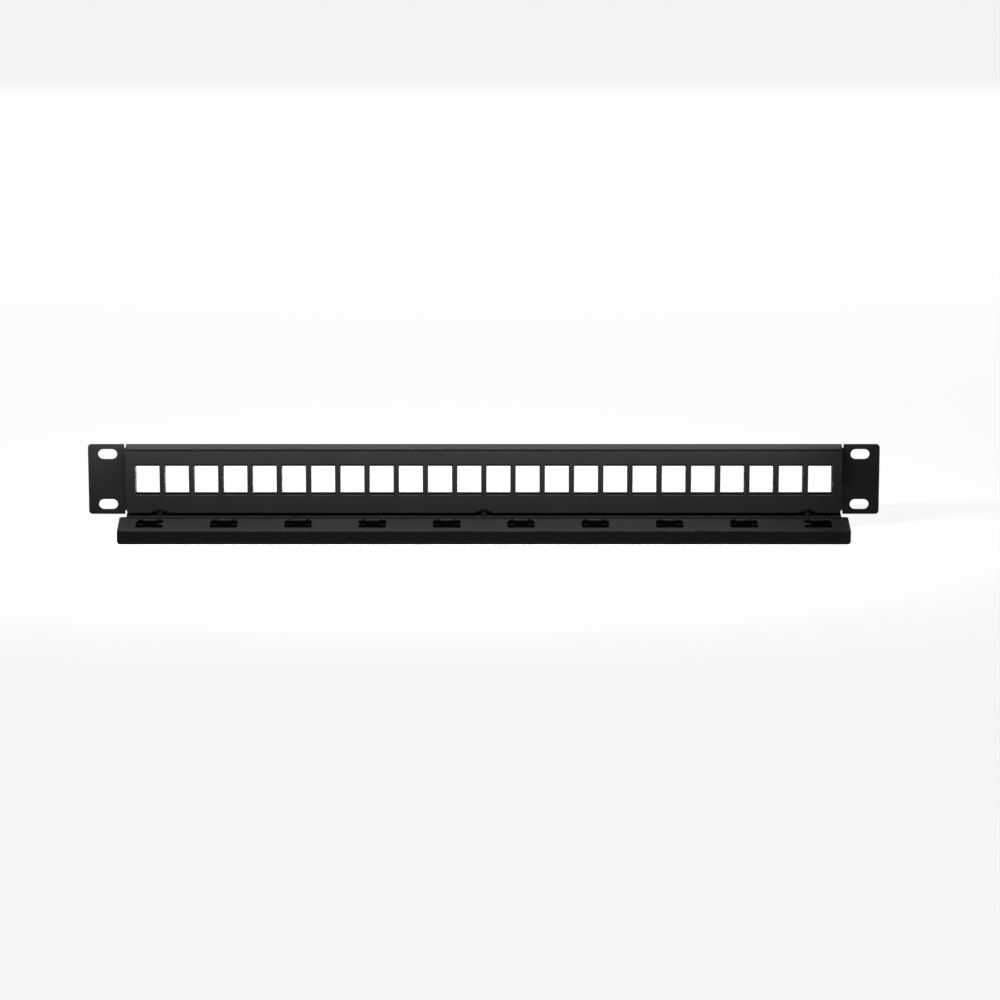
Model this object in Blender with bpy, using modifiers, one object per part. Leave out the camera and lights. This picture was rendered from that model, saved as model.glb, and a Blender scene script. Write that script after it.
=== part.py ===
"""A 19-inch rack patch panel, one rack unit high, for keystone jacks, with a cable tray behind it.

The frame: +X runs along the panel, +Y points out of the front of the rack and +Z points up. The origin
is the middle of the plane on which both ears meet the rack rails.
"""

import math

import bmesh
import bpy
from mathutils import Matrix, Vector

MM = 0.001

# Shared values
CLEARANCE = 0.3 * MM
SHEET = 1.2 * MM
BEND_OUTER = 0.25 * MM
BEND_INNER = 0.15 * MM
BEND_STEPS = 4
CORNER_STEPS = 3
ROUND_STEPS = 24

# Front panel: ears, face and two stiffening flanges folded from one sheet
PANEL_WIDTH = 482.6 * MM
PANEL_HEIGHT = 44.2 * MM
EAR_WIDTH = 23.3 * MM
EAR_CORNER = 2.2 * MM
FLANGE_DEPTH = 9.3 * MM
RELIEF_WIDTH = 1.1 * MM
RELIEF_DEPTH = 2.3 * MM

# Rack slots in the ears
SLOT_LENGTH = 11.5 * MM
SLOT_HEIGHT = 6.4 * MM
SLOT_FROM_END = 12.0 * MM
SLOT_FROM_EDGE = 6.225 * MM

# Keystone ports
PORT_PITCH = 17.8 * MM
PORT_END_MARGIN = 3.0 * MM
PORT_CORNER = 0.4 * MM
FRONT_PORT_WIDTH = 14.5 * MM
FRONT_PORT_HEIGHT = 16.8 * MM
REAR_PORT_WIDTH = 14.6 * MM
LATCH_STEP = 3.5 * MM
HOOK_STEP = 0.5 * MM

# Retaining channel, which stands behind the ports
CHANNEL_RECESS = 0.5 * MM
CHANNEL_LIFT = 2.0 * MM
CHANNEL_CHAMFER_WIDTH = 0.9 * MM
CHANNEL_CHAMFER_HEIGHT = 2.0 * MM
NOTCH_WIDTH = 9.9 * MM
NOTCH_HEIGHT = 1.3 * MM

# Cable tray
TRAY_OVERHANG = 4.3 * MM
TRAY_WING_FRONT = 5.5 * MM
TRAY_REACH = 35.5 * MM
TRAY_CORNER = 2.0 * MM
LIP_DROP = 8.5 * MM
FRONT_DROP = 8.0 * MM

# Tie points in the tray: a window with a T-shaped tab folded down from its far edge
WINDOW_PITCH = 45.2 * MM
WINDOW_WIDTH = 16.7 * MM
WINDOW_LENGTH = 17.2 * MM
WINDOW_FROM_LIP = 7.2 * MM
WINDOW_CORNER = 1.0 * MM
WINDOW_END_MARGIN = 8.0 * MM
TAB_NECK = 8.8 * MM
TAB_RELIEF = 1.8 * MM
TAB_RELIEF_DEPTH = 1.4 * MM
TAB_STRAIGHT = 0.65 * MM
TAB_DROP = 8.0 * MM
TAB_HEAD_DROP = 3.0 * MM
TAB_CORNER = 1.5 * MM

# Three screws hold the tray, each in a standoff that is clinched into the lower flange
FASTENER_INSET = 20.5 * MM
CLINCH_EDGE = 0.4 * MM
CLINCH_COLLAR = 0.2 * MM
STANDOFF_RADIUS = 2.1 * MM
STANDOFF_HEIGHT = 4.0 * MM
SCREW_RADIUS = 1.3 * MM
SCREW_HEAD_RADIUS = 2.8 * MM
SCREW_HEAD_HEIGHT = 2.0 * MM
SCREW_DOME = 0.8 * MM
RECESS_WIDTH = 0.8 * MM
RECESS_SPAN = 3.0 * MM
RECESS_DEPTH = 1.0 * MM

# Places that follow from the sizes above
BOX_WIDTH = PANEL_WIDTH - 2 * EAR_WIDTH
TOP = PANEL_HEIGHT / 2
BOTTOM = -PANEL_HEIGHT / 2
FLANGE_END = -FLANGE_DEPTH
FLOOR_TOP = BOTTOM + SHEET
CHANNEL_FACE = FLANGE_END + CHANNEL_RECESS
CHANNEL_TOP = TOP - SHEET - CLEARANCE
CHANNEL_BOTTOM = FLOOR_TOP + CHANNEL_LIFT
CHANNEL_FRONT = -CLEARANCE
REAR_PORT_TOP = FRONT_PORT_HEIGHT / 2 + LATCH_STEP
REAR_PORT_BOTTOM = HOOK_STEP - FRONT_PORT_HEIGHT / 2
TRAY_WIDTH = BOX_WIDTH + 2 * TRAY_OVERHANG
SHELF_TOP = BOTTOM - CLEARANCE
SHELF_BOTTOM = SHELF_TOP - SHEET
LIP_FACE = -TRAY_REACH
WINDOW_NEAR = LIP_FACE + WINDOW_FROM_LIP
WINDOW_FAR = WINDOW_NEAR + WINDOW_LENGTH
TAB_ROOT = WINDOW_FAR + TAB_RELIEF_DEPTH
TAB_FACE = TAB_ROOT - TAB_STRAIGHT - BEND_INNER - SHEET
CLINCH_RADIUS = STANDOFF_RADIUS + CLINCH_COLLAR
FASTENER_Y = FLANGE_END + CLINCH_EDGE + CLEARANCE + CLINCH_RADIUS
TRAY_FRONT = FASTENER_Y + SCREW_HEAD_RADIUS + CLEARANCE + SHEET
FASTENER_X = BOX_WIDTH / 2 - FASTENER_INSET
PORT_COUNT = int((BOX_WIDTH - 2 * PORT_END_MARGIN) / PORT_PITCH)
WINDOW_COUNT = 1 + int((TRAY_WIDTH - WINDOW_WIDTH - 2 * WINDOW_END_MARGIN) / WINDOW_PITCH)

# How a flat outline is turned before it gets its thickness
LYING = Matrix.Identity(4)
FACING = Matrix(((1, 0, 0, 0), (0, 0, -1, 0), (0, 1, 0, 0), (0, 0, 0, 1)))
ALONG = Matrix(((0, 0, 1, 0), (1, 0, 0, 0), (0, 1, 0, 0), (0, 0, 0, 1)))


def centred_row(count, pitch):
    """Places of a row that is centred on zero."""
    return [(i - (count - 1) / 2) * pitch for i in range(count)]


def arc(centre, radius, start, end, steps):
    """Points along an arc, with its angles in degrees."""
    angles = [math.radians(start + (end - start) * i / steps) for i in range(steps + 1)]
    return [(centre[0] + radius * math.cos(a), centre[1] + radius * math.sin(a)) for a in angles]


def rounded_rectangle(x_range, y_range, radius, steps=CORNER_STEPS):
    """A closed outline with round corners, counter-clockwise from its lower left corner."""
    x0, x1 = x_range
    y0, y1 = y_range
    outline = arc((x0 + radius, y0 + radius), radius, 180, 270, steps)
    outline += arc((x1 - radius, y0 + radius), radius, 270, 360, steps)
    outline += arc((x1 - radius, y1 - radius), radius, 0, 90, steps)
    outline += arc((x0 + radius, y1 - radius), radius, 90, 180, steps)
    return outline


def around(centre, width):
    """The range of a given width about a centre."""
    return centre - width / 2, centre + width / 2


def rounded_path(points, radius):
    """An open path whose inner corners are rounded with arcs."""
    path = [points[0]]
    for before, corner, after in zip(points, points[1:], points[2:]):
        corner = Vector(corner)
        to_before = (Vector(before) - corner).normalized()
        to_after = (Vector(after) - corner).normalized()
        half_angle = to_before.angle(to_after) / 2
        centre = corner + (to_before + to_after).normalized() * radius / math.sin(half_angle)
        spoke = corner + to_before * radius / math.tan(half_angle) - centre
        last_spoke = corner + to_after * radius / math.tan(half_angle) - centre
        step = Matrix.Rotation(-spoke.angle_signed(last_spoke) / BEND_STEPS, 2)
        for _ in range(BEND_STEPS + 1):
            path.append(tuple(centre + spoke))
            spoke = step @ spoke
    return path + [points[-1]]


def folded_profile(corners, side):
    """The closed section of a folded sheet, from the corners of its outer surface.

    The thickness lies to the left of the path when side is 1, and to its right when side is -1.
    """
    steps = [(Vector(b) - Vector(a)).normalized() for a, b in zip(corners, corners[1:])]
    normals = [Vector((-step.y, step.x)) * side for step in steps]
    inner = [Vector(corners[0]) + normals[0] * SHEET]
    for corner, first, second in zip(corners[1:-1], normals, normals[1:]):
        inner.append(Vector(corner) + (first + second) * SHEET)
    inner.append(Vector(corners[-1]) + normals[-1] * SHEET)
    outer_path = rounded_path(corners, BEND_OUTER)
    inner_path = rounded_path([tuple(point) for point in inner], BEND_INNER)
    return outer_path + inner_path[::-1]


def clear_scene():
    """Remove the objects that a new file starts with."""
    for leftover in list(bpy.data.objects):
        bpy.data.objects.remove(leftover, do_unlink=True)


def new_collection(name):
    """A collection in the scene."""
    collection = bpy.data.collections.new(name)
    bpy.context.scene.collection.children.link(collection)
    return collection


def painted(name, colour, roughness, metallic=0.0):
    """A plain material with one colour."""
    material = bpy.data.materials.new(name)
    material.use_nodes = True
    shader = material.node_tree.nodes["Principled BSDF"]
    shader.inputs["Base Color"].default_value = (*colour, 1)
    shader.inputs["Roughness"].default_value = roughness
    shader.inputs["Metallic"].default_value = metallic
    return material


def place(mesh, name, collection, matrix=LYING):
    """An object that holds a mesh, in a collection."""
    thing = bpy.data.objects.new(name, mesh)
    thing.matrix_world = matrix
    collection.objects.link(thing)
    return thing


def plate(name, outlines, z_range, collection, turn=LYING):
    """A solid with the given outlines, between two heights along the normal of its plane."""
    low, high = z_range
    curve = bpy.data.curves.new(name, "CURVE")
    curve.dimensions = "2D"
    curve.fill_mode = "BOTH"
    curve.extrude = (high - low) / 2
    for outline in outlines:
        spline = curve.splines.new("POLY")
        spline.points.add(len(outline) - 1)
        for point, (x, y) in zip(spline.points, outline):
            point.co = (x, y, 0, 1)
        spline.use_cyclic_u = True
    matrix = turn @ Matrix.Translation((0, 0, (low + high) / 2))
    outline_object = place(curve, name + "_outline", collection, matrix)
    bpy.context.view_layer.update()
    filled = outline_object.evaluated_get(bpy.context.evaluated_depsgraph_get())
    mesh = bpy.data.meshes.new_from_object(filled)
    bpy.data.objects.remove(outline_object, do_unlink=True)
    bm = bmesh.new()
    bm.from_mesh(mesh)
    bmesh.ops.remove_doubles(bm, verts=bm.verts, dist=0.001 * MM)
    bmesh.ops.recalc_face_normals(bm, faces=bm.faces)
    bm.to_mesh(mesh)
    bm.free()
    mesh.name = name
    return place(mesh, name, collection, matrix)


def tool(thing):
    """Mark an object as a cutter or an added part that isn't a piece of its own."""
    thing.hide_render = True
    thing.display_type = "WIRE"
    return thing


def combine(thing, operand, operation):
    """Cut an operand from a solid, or join it on."""
    modifier = thing.modifiers.new(operand.name, "BOOLEAN")
    modifier.operation = operation
    modifier.solver = "EXACT"
    modifier.object = operand


def turned(name, profile, location, collection, closed=False):
    """A solid of revolution about Z, from a profile that runs down its outer side."""
    mesh = bpy.data.meshes.new(name)
    bm = bmesh.new()
    corners = [bm.verts.new((radius, 0, height)) for radius, height in profile]
    for a, b in zip(corners, corners[1:]):
        bm.edges.new((a, b))
    if closed:
        bm.edges.new((corners[-1], corners[0]))
    bm.to_mesh(mesh)
    bm.free()
    thing = place(mesh, name, collection, Matrix.Translation(location))
    spin = thing.modifiers.new("turn", "SCREW")
    spin.axis = "Z"
    spin.steps = ROUND_STEPS
    spin.render_steps = ROUND_STEPS
    spin.use_merge_vertices = True
    spin.merge_threshold = 0.001 * MM
    return thing


def finish(thing, material):
    """Give a piece its material and smooth shading between its sharp edges."""
    thing.data.materials.clear()
    thing.data.materials.append(material)
    thing.data.shade_smooth()
    thing.data.set_sharp_from_angle(angle=math.radians(35))


def slot_outlines():
    """The four rack slots."""
    x_place = PANEL_WIDTH / 2 - SLOT_FROM_END
    z_place = PANEL_HEIGHT / 2 - SLOT_FROM_EDGE
    radius = SLOT_HEIGHT / 2
    centres = [(-x_place, -z_place), (-x_place, z_place), (x_place, -z_place), (x_place, z_place)]
    return [
        rounded_rectangle(around(x, SLOT_LENGTH), around(z, SLOT_HEIGHT), radius, 2 * BEND_STEPS)
        for x, z in centres
    ]


def ear_outline(side):
    """One ear, with the reliefs that let the flanges fold beside it."""
    outer = PANEL_WIDTH / 2
    relieved = BOX_WIDTH / 2 + RELIEF_WIDTH
    inner = BOX_WIDTH / 2
    shoulder = TOP - RELIEF_DEPTH
    outline = arc((outer - EAR_CORNER, BOTTOM + EAR_CORNER), EAR_CORNER, 270, 360, 2 * CORNER_STEPS)
    outline += arc((outer - EAR_CORNER, TOP - EAR_CORNER), EAR_CORNER, 0, 90, 2 * CORNER_STEPS)
    outline += [(relieved, TOP), (relieved, shoulder), (inner, shoulder)]
    outline += [(inner, -shoulder), (relieved, -shoulder), (relieved, BOTTOM)]
    return [(side * x, z) for x, z in outline]


def port_outlines(width, low, high):
    """One row of port openings."""
    return [
        rounded_rectangle(around(x, width), (low, high), PORT_CORNER)
        for x in centred_row(PORT_COUNT, PORT_PITCH)
    ]


def make_front_panel(pieces, tools):
    """The sheet with the ears, the front openings and both flanges."""
    corners = [(FLANGE_END, TOP), (SHEET, TOP), (SHEET, BOTTOM), (FLANGE_END, BOTTOM)]
    half_width = BOX_WIDTH / 2
    section = folded_profile(corners, -1)
    panel = plate("front_panel", [section], (-half_width, half_width), pieces, ALONG)
    ears = plate("panel_ears", [ear_outline(-1), ear_outline(1)], (-SHEET, 0), tools, FACING)
    combine(panel, tool(ears), "UNION")
    through = (-2 * SHEET, SHEET)
    outlines = port_outlines(FRONT_PORT_WIDTH, -FRONT_PORT_HEIGHT / 2, FRONT_PORT_HEIGHT / 2)
    openings = plate("front_openings", outlines + slot_outlines(), through, tools, FACING)
    combine(panel, tool(openings), "DIFFERENCE")
    holes = [
        arc((x, FASTENER_Y), CLINCH_RADIUS + CLEARANCE, 0, 360 - 360 / ROUND_STEPS, ROUND_STEPS - 1)
        for x in (-FASTENER_X, 0, FASTENER_X)
    ]
    clinch_holes = plate("clinch_holes", holes, (BOTTOM - SHEET, FLOOR_TOP + SHEET), tools)
    combine(panel, tool(clinch_holes), "DIFFERENCE")
    return panel


def make_retaining_channel(pieces, tools):
    """The folded sheet behind the ports, whose openings catch the hook and the latch of each jack."""
    corners = [
        (CHANNEL_FRONT, CHANNEL_TOP),
        (CHANNEL_FACE, CHANNEL_TOP),
        (CHANNEL_FACE, CHANNEL_BOTTOM),
        (CHANNEL_FRONT, CHANNEL_BOTTOM),
    ]
    half_width = BOX_WIDTH / 2
    section = folded_profile(corners, 1)
    channel = plate("retaining_channel", [section], (-half_width, half_width), pieces, ALONG)
    through = (-CHANNEL_FACE - 2 * SHEET, -CHANNEL_FACE + SHEET)
    outlines = port_outlines(REAR_PORT_WIDTH, REAR_PORT_BOTTOM, REAR_PORT_TOP)
    openings = plate("rear_openings", outlines, through, tools, FACING)
    combine(channel, tool(openings), "DIFFERENCE")
    below = CHANNEL_BOTTOM - SHEET
    notch_top = CHANNEL_BOTTOM + NOTCH_HEIGHT
    standoff_space = FLOOR_TOP + STANDOFF_HEIGHT + CLEARANCE
    notch_depth = (-FASTENER_Y - CLINCH_RADIUS - CLEARANCE, -CHANNEL_FACE + SHEET)
    for cut_name, width, top in (
        ("standoff_notches", NOTCH_WIDTH, notch_top),
        ("standoff_reliefs", 2 * (STANDOFF_RADIUS + CLEARANCE), standoff_space),
    ):
        outlines = [
            rounded_rectangle(around(x, width), (below, top), PORT_CORNER)
            for x in (-FASTENER_X, 0, FASTENER_X)
        ]
        cuts = plate(cut_name, outlines, notch_depth, tools, FACING)
        combine(channel, tool(cuts), "DIFFERENCE")
    chamfers = [
        [
            (side * (half_width + SHEET), below),
            (side * (half_width - CHANNEL_CHAMFER_WIDTH), below),
            (side * (half_width - CHANNEL_CHAMFER_WIDTH), CHANNEL_BOTTOM),
            (side * half_width, CHANNEL_BOTTOM + CHANNEL_CHAMFER_HEIGHT),
            (side * (half_width + SHEET), CHANNEL_BOTTOM + CHANNEL_CHAMFER_HEIGHT),
        ]
        for side in (-1, 1)
    ]
    corner_cuts = plate("channel_chamfers", chamfers, (-SHEET, -CHANNEL_FACE + SHEET), tools, FACING)
    combine(channel, tool(corner_cuts), "DIFFERENCE")
    return channel


def tab_head_outline(x):
    """The wide end of one tie tab."""
    low = SHELF_TOP - TAB_DROP
    high = SHELF_TOP - TAB_HEAD_DROP
    half_width = WINDOW_WIDTH / 2
    outline = arc((x - half_width + TAB_CORNER, low + TAB_CORNER), TAB_CORNER, 180, 270, CORNER_STEPS)
    outline += arc((x + half_width - TAB_CORNER, low + TAB_CORNER), TAB_CORNER, 270, 360, CORNER_STEPS)
    return outline + [(x + half_width, high), (x - half_width, high)]


def make_cable_tray(pieces, tools):
    """The shelf behind the ports, folded down along both edges, with its row of tie points."""
    lip_bottom = SHELF_TOP - LIP_DROP
    corners = [
        (TRAY_FRONT, SHELF_TOP - FRONT_DROP),
        (TRAY_FRONT, SHELF_TOP),
        (LIP_FACE, SHELF_TOP),
        (LIP_FACE, lip_bottom),
    ]
    half_width = TRAY_WIDTH / 2
    tray = plate("cable_tray", [folded_profile(corners, 1)], (-half_width, half_width), pieces, ALONG)
    round_x = half_width - TRAY_CORNER
    round_y = -TRAY_WING_FRONT - TRAY_CORNER
    wing = [(BOX_WIDTH / 2, 0), (BOX_WIDTH / 2, -TRAY_WING_FRONT)]
    wing += arc((round_x, round_y), TRAY_CORNER, 90, 0, 2 * CORNER_STEPS)
    wing += [(half_width + SHEET, round_y), (half_width + SHEET, 0)]
    wings = [[(side * x, y) for x, y in wing] for side in (-1, 1)]
    wing_depth = (SHELF_TOP - FRONT_DROP - SHEET, SHELF_TOP + SHEET)
    wing_cuts = plate("wing_cuts", wings, wing_depth, tools)
    combine(tray, tool(wing_cuts), "DIFFERENCE")
    round_z = lip_bottom + TRAY_CORNER
    corner = arc((round_x, round_z), TRAY_CORNER, 270, 360, 2 * CORNER_STEPS)
    corner += [(half_width + SHEET, round_z), (half_width + SHEET, lip_bottom - SHEET)]
    corner += [(round_x, lip_bottom - SHEET)]
    lip_corners = [[(side * x, z) for x, z in corner] for side in (-1, 1)]
    lip_depth = (-LIP_FACE - 2 * SHEET, -LIP_FACE + SHEET)
    lip_cuts = plate("lip_corner_cuts", lip_corners, lip_depth, tools, FACING)
    combine(tray, tool(lip_cuts), "DIFFERENCE")
    places = centred_row(WINDOW_COUNT, WINDOW_PITCH)
    through = (SHELF_BOTTOM - SHEET, SHELF_TOP + SHEET)
    windows = [
        rounded_rectangle(around(x, WINDOW_WIDTH), (WINDOW_NEAR, WINDOW_FAR), WINDOW_CORNER) for x in places
    ]
    window_cuts = plate("tie_windows", windows, through, tools)
    combine(tray, tool(window_cuts), "DIFFERENCE")
    relief_width = TAB_NECK + 2 * TAB_RELIEF
    reliefs = [
        rounded_rectangle(around(x, relief_width), (WINDOW_FAR - WINDOW_CORNER, TAB_ROOT), WINDOW_CORNER / 2)
        for x in places
    ]
    relief_cuts = plate("tab_reliefs", reliefs, through, tools)
    combine(tray, tool(relief_cuts), "DIFFERENCE")
    neck_corners = [(TAB_ROOT, SHELF_TOP), (TAB_FACE, SHELF_TOP), (TAB_FACE, SHELF_TOP - TAB_HEAD_DROP)]
    neck = folded_profile(neck_corners, 1)
    for number, x in enumerate(places, start=1):
        tab = plate(f"tab_neck_{number:02d}", [neck], around(x, TAB_NECK), tools, ALONG)
        combine(tray, tool(tab), "UNION")
    outlines = [tab_head_outline(x) for x in places]
    heads = plate("tab_heads", outlines, (-TAB_FACE - SHEET, -TAB_FACE), tools, FACING)
    combine(tray, tool(heads), "UNION")
    holes = [
        arc((x, FASTENER_Y), SCREW_RADIUS + CLEARANCE, 0, 360 - 360 / ROUND_STEPS, ROUND_STEPS - 1)
        for x in (-FASTENER_X, 0, FASTENER_X)
    ]
    screw_holes = plate("screw_holes", holes, through, tools)
    combine(tray, tool(screw_holes), "DIFFERENCE")
    return tray


def make_standoff(place_name, x, pieces):
    """A threaded sleeve, clinched into the lower flange from below."""
    top = STANDOFF_HEIGHT + SHEET
    bore = SCREW_RADIUS + CLEARANCE
    profile = [
        (STANDOFF_RADIUS, top),
        (STANDOFF_RADIUS, SHEET - CLEARANCE),
        (CLINCH_RADIUS, SHEET - CLEARANCE),
        (CLINCH_RADIUS, 0),
        (bore, 0),
        (bore, top),
    ]
    return turned("clinch_standoff_" + place_name, profile, (x, FASTENER_Y, BOTTOM), pieces, closed=True)


def make_screw(place_name, x, pieces, tools):
    """A pan-head screw with a cross recess, which enters from below the tray."""
    seat = SHELF_BOTTOM - CLEARANCE
    dome = arc(
        (SCREW_HEAD_RADIUS - SCREW_DOME, SCREW_DOME - SCREW_HEAD_HEIGHT), SCREW_DOME, 0, -90, CORNER_STEPS
    )
    profile = [(0, BOTTOM + STANDOFF_HEIGHT - seat), (SCREW_RADIUS, BOTTOM + STANDOFF_HEIGHT - seat)]
    profile += [(SCREW_RADIUS, 0), (SCREW_HEAD_RADIUS, 0)] + dome + [(0, -SCREW_HEAD_HEIGHT)]
    screw = turned("tray_screw_" + place_name, profile, (x, FASTENER_Y, seat), pieces)
    depth = (seat - SCREW_HEAD_HEIGHT - SHEET, seat - SCREW_HEAD_HEIGHT + RECESS_DEPTH)
    for arm, width, length in (("across", RECESS_SPAN, RECESS_WIDTH), ("along", RECESS_WIDTH, RECESS_SPAN)):
        outline = rounded_rectangle(around(x, width), around(FASTENER_Y, length), RECESS_WIDTH / 4)
        cutter = plate(f"recess_{arm}_{place_name}", [outline], depth, tools)
        combine(screw, tool(cutter), "DIFFERENCE")
    return screw


def main():
    clear_scene()
    pieces = new_collection("patch_panel")
    tools = new_collection("cutters")
    finish(make_front_panel(pieces, tools), painted("panel_powder_coat", (0.03, 0.03, 0.031), 0.55))
    finish(make_retaining_channel(pieces, tools), painted("channel_powder_coat", (0.03, 0.03, 0.031), 0.55))
    finish(make_cable_tray(pieces, tools), painted("tray_powder_coat", (0.03, 0.03, 0.031), 0.55))
    for place_name, x in (("left", -FASTENER_X), ("centre", 0), ("right", FASTENER_X)):
        standoff = make_standoff(place_name, x, pieces)
        finish(standoff, painted("standoff_coat_" + place_name, (0.03, 0.03, 0.031), 0.5))
        screw = make_screw(place_name, x, pieces, tools)
        finish(screw, painted("black_zinc_" + place_name, (0.04, 0.04, 0.042), 0.35, 0.8))


main()
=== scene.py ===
"""The looks of a one-unit rack panel for 24 keystone jacks, seen from its cable side."""

import math

import bmesh
import bpy
from mathutils import Matrix, Vector


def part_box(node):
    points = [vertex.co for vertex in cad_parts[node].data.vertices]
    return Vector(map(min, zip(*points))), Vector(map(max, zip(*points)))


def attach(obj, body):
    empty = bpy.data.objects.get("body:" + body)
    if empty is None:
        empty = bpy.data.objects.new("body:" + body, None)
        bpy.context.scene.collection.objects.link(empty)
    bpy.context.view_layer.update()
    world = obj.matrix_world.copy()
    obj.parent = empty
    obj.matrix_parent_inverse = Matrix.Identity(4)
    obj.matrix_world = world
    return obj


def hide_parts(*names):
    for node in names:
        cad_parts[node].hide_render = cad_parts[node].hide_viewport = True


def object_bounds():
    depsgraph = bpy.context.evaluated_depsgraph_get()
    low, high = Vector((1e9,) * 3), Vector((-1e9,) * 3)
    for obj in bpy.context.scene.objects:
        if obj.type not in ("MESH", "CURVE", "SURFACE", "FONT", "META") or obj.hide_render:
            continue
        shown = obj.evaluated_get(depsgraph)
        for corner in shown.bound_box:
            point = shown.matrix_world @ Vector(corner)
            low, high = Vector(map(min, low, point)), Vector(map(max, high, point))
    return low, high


bl_info = {
    "name": "Keystone Patch Panel",
    "version": (1, 0, 0),
    "blender": (4, 5, 0),
    "location": "3D View > Sidebar > Patch Panel",
    "description": "Builds the sheets, standoffs and screws of a rack panel on its measured frame",
    "category": "Object",
}

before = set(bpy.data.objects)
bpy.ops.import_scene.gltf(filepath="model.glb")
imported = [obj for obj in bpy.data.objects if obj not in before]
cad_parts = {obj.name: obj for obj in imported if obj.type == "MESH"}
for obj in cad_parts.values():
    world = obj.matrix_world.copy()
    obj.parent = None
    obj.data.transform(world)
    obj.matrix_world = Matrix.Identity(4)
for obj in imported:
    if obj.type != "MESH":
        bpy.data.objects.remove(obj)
CAD_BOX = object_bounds()

MM = 0.001
PANEL_LOW, PANEL_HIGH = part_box("front_panel")
CHANNEL_LOW, CHANNEL_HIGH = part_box("retaining_channel")
TRAY_LOW, TRAY_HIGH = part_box("cable_tray")
PLACES = ("left", "centre", "right")
MERGE = 0.0005 * MM
SMALL_STEPS = 5
CORNER_STEPS = 12
HEAD_STEPS = 8
ROUND_STEPS = 72
FINE_ROUNDING = 0.04 * MM
THREAD_START = 0.2 * MM
FLOOR_HALF = 8.0

# Each light's name, place, target, width and height, and the setting that holds its power
LIGHTS = (
    ("tray_strip", (-0.035, -0.031, 0.053), (-0.035, -0.0135, 0.0), 0.48, 0.006, "strip"),
    ("key_softbox", (-0.05, -0.12, 0.13), (-0.05, -0.02, 0.0), 0.42, 0.05, "key"),
    ("fill_softbox", (0.0, -1.5, 0.03), (0.0, 0.0, 0.0), 1.2, 0.1, "fill"),
    ("top_softbox", (0.0, 1.2, 0.35), (0.0, 0.0, 0.0), 1.8, 0.5, "top"),
    ("front_softbox", (0.35, 1.5, -0.32), (0.0, 0.0, 0.0), 1.2, 0.3, "front"),
    ("under_softbox", (0.1, 0.4, -0.9), (0.0, 0.0, 0.0), 1.2, 0.5, "under"),
)


# Settings that a user can change


def length(name, text, millimetres):
    """A size setting, given in millimetres."""
    return bpy.props.FloatProperty(
        name=name, description=text, default=millimetres * MM, unit="LENGTH", precision=5
    )


def share(name, text, value, low=0.0, high=1.0):
    """A setting without a unit."""
    return bpy.props.FloatProperty(name=name, description=text, default=value, min=low, max=high)


def colour(name, text, value):
    """A linear colour setting."""
    return bpy.props.FloatVectorProperty(
        name=name, description=text, default=value, subtype="COLOR", size=3, min=0.0, max=1.0
    )


class PatchPanelSheetSizes(bpy.types.PropertyGroup):
    """Sizes that the three sheets share, and those of the front panel."""

    sheet: length("Sheet", "Thickness of the steel sheets", 1.2)
    bend_outer: length("Outer bend", "Outer radius of every fold", 0.25)
    bend_inner: length("Inner bend", "Inner radius of every fold", 0.15)
    bend_steps: bpy.props.IntProperty(name="Bend steps", description="Facets in a fold", default=10, min=2)
    rounding: length("Edge rounding", "Radius that the coat leaves on a cut edge", 0.13)
    clearance: length("Clearance", "Gap between pieces that touch", 0.3)
    ear_width: length("Ear width", "From the end of the panel to the folded box", 23.3)
    ear_corner: length("Ear corner", "Radius of the outer corners", 2.2)
    relief_width: length("Relief width", "Bend relief beside each flange end", 1.1)
    relief_depth: length("Relief depth", "Depth of the bend reliefs", 2.3)
    slot_length: length("Slot length", "Length of a rack slot", 11.5)
    slot_height: length("Slot height", "Height of a rack slot", 6.4)
    slot_from_end: length("Slot from end", "From the panel's end to a slot's centre", 12.0)
    slot_from_edge: length("Slot from edge", "From the upper or lower edge to a slot's centre", 6.225)


class PatchPanelPortSizes(bpy.types.PropertyGroup):
    """Sizes of the keystone openings and of the channel that stands behind them."""

    count: bpy.props.IntProperty(name="Ports", description="How many openings", default=24, min=1)
    pitch: length("Pitch", "Between the centres of two ports", 17.8)
    corner: length("Corner", "Radius of an opening's corners", 0.4)
    front_width: length("Front width", "Width of a front opening", 14.5)
    front_height: length("Front height", "Height of a front opening", 16.8)
    rear_width: length("Rear width", "Width of a rear opening", 14.6)
    latch_step: length("Latch step", "How far the rear opening reaches above the front one", 3.5)
    hook_step: length("Hook step", "How far its lower edge stands above the front one's", 0.5)
    chamfer_width: length("Chamfer width", "Lower corners of the channel", 0.9)
    chamfer_height: length("Chamfer height", "Lower corners of the channel", 2.0)
    notch_width: length("Notch width", "Notch around a standoff", 9.9)
    notch_height: length("Notch height", "Notch around a standoff", 1.3)


class PatchPanelTraySizes(bpy.types.PropertyGroup):
    """Sizes of the cable tray and its tie points."""

    front_drop: length("Front drop", "Height of the edge folded down under the ports", 8.0)
    wing_front: length("Wing front", "From the ears to the tray's side wings", 5.5)
    corner: length("Tray corner", "Radius of the tray's corners", 2.0)
    count: bpy.props.IntProperty(name="Tie points", description="How many windows", default=10, min=1)
    pitch: length("Tie pitch", "Between the centres of two windows", 45.2)
    width: length("Window width", "Width of a window along the panel", 16.7)
    depth: length("Window depth", "Length of a window towards the ports", 17.2)
    from_lip: length("From lip", "From the lip's face to a window", 7.2)
    window_corner: length("Window corner", "Radius of a window's corners", 1.0)
    neck: length("Tab neck", "Width of a tie tab where it folds", 8.8)
    relief: length("Tab relief", "Width of the cut on each side of the neck", 1.8)
    relief_depth: length("Tab relief depth", "Depth of the cuts beside the neck", 1.4)
    straight: length("Tab straight", "Flat length before the fold", 0.65)
    drop: length("Tab drop", "From the shelf to the tab's lower edge", 8.0)
    head_drop: length("Head drop", "From the shelf to the wide end", 3.0)
    head_corner: length("Head corner", "Radius of the wide end's corners", 1.5)


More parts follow.
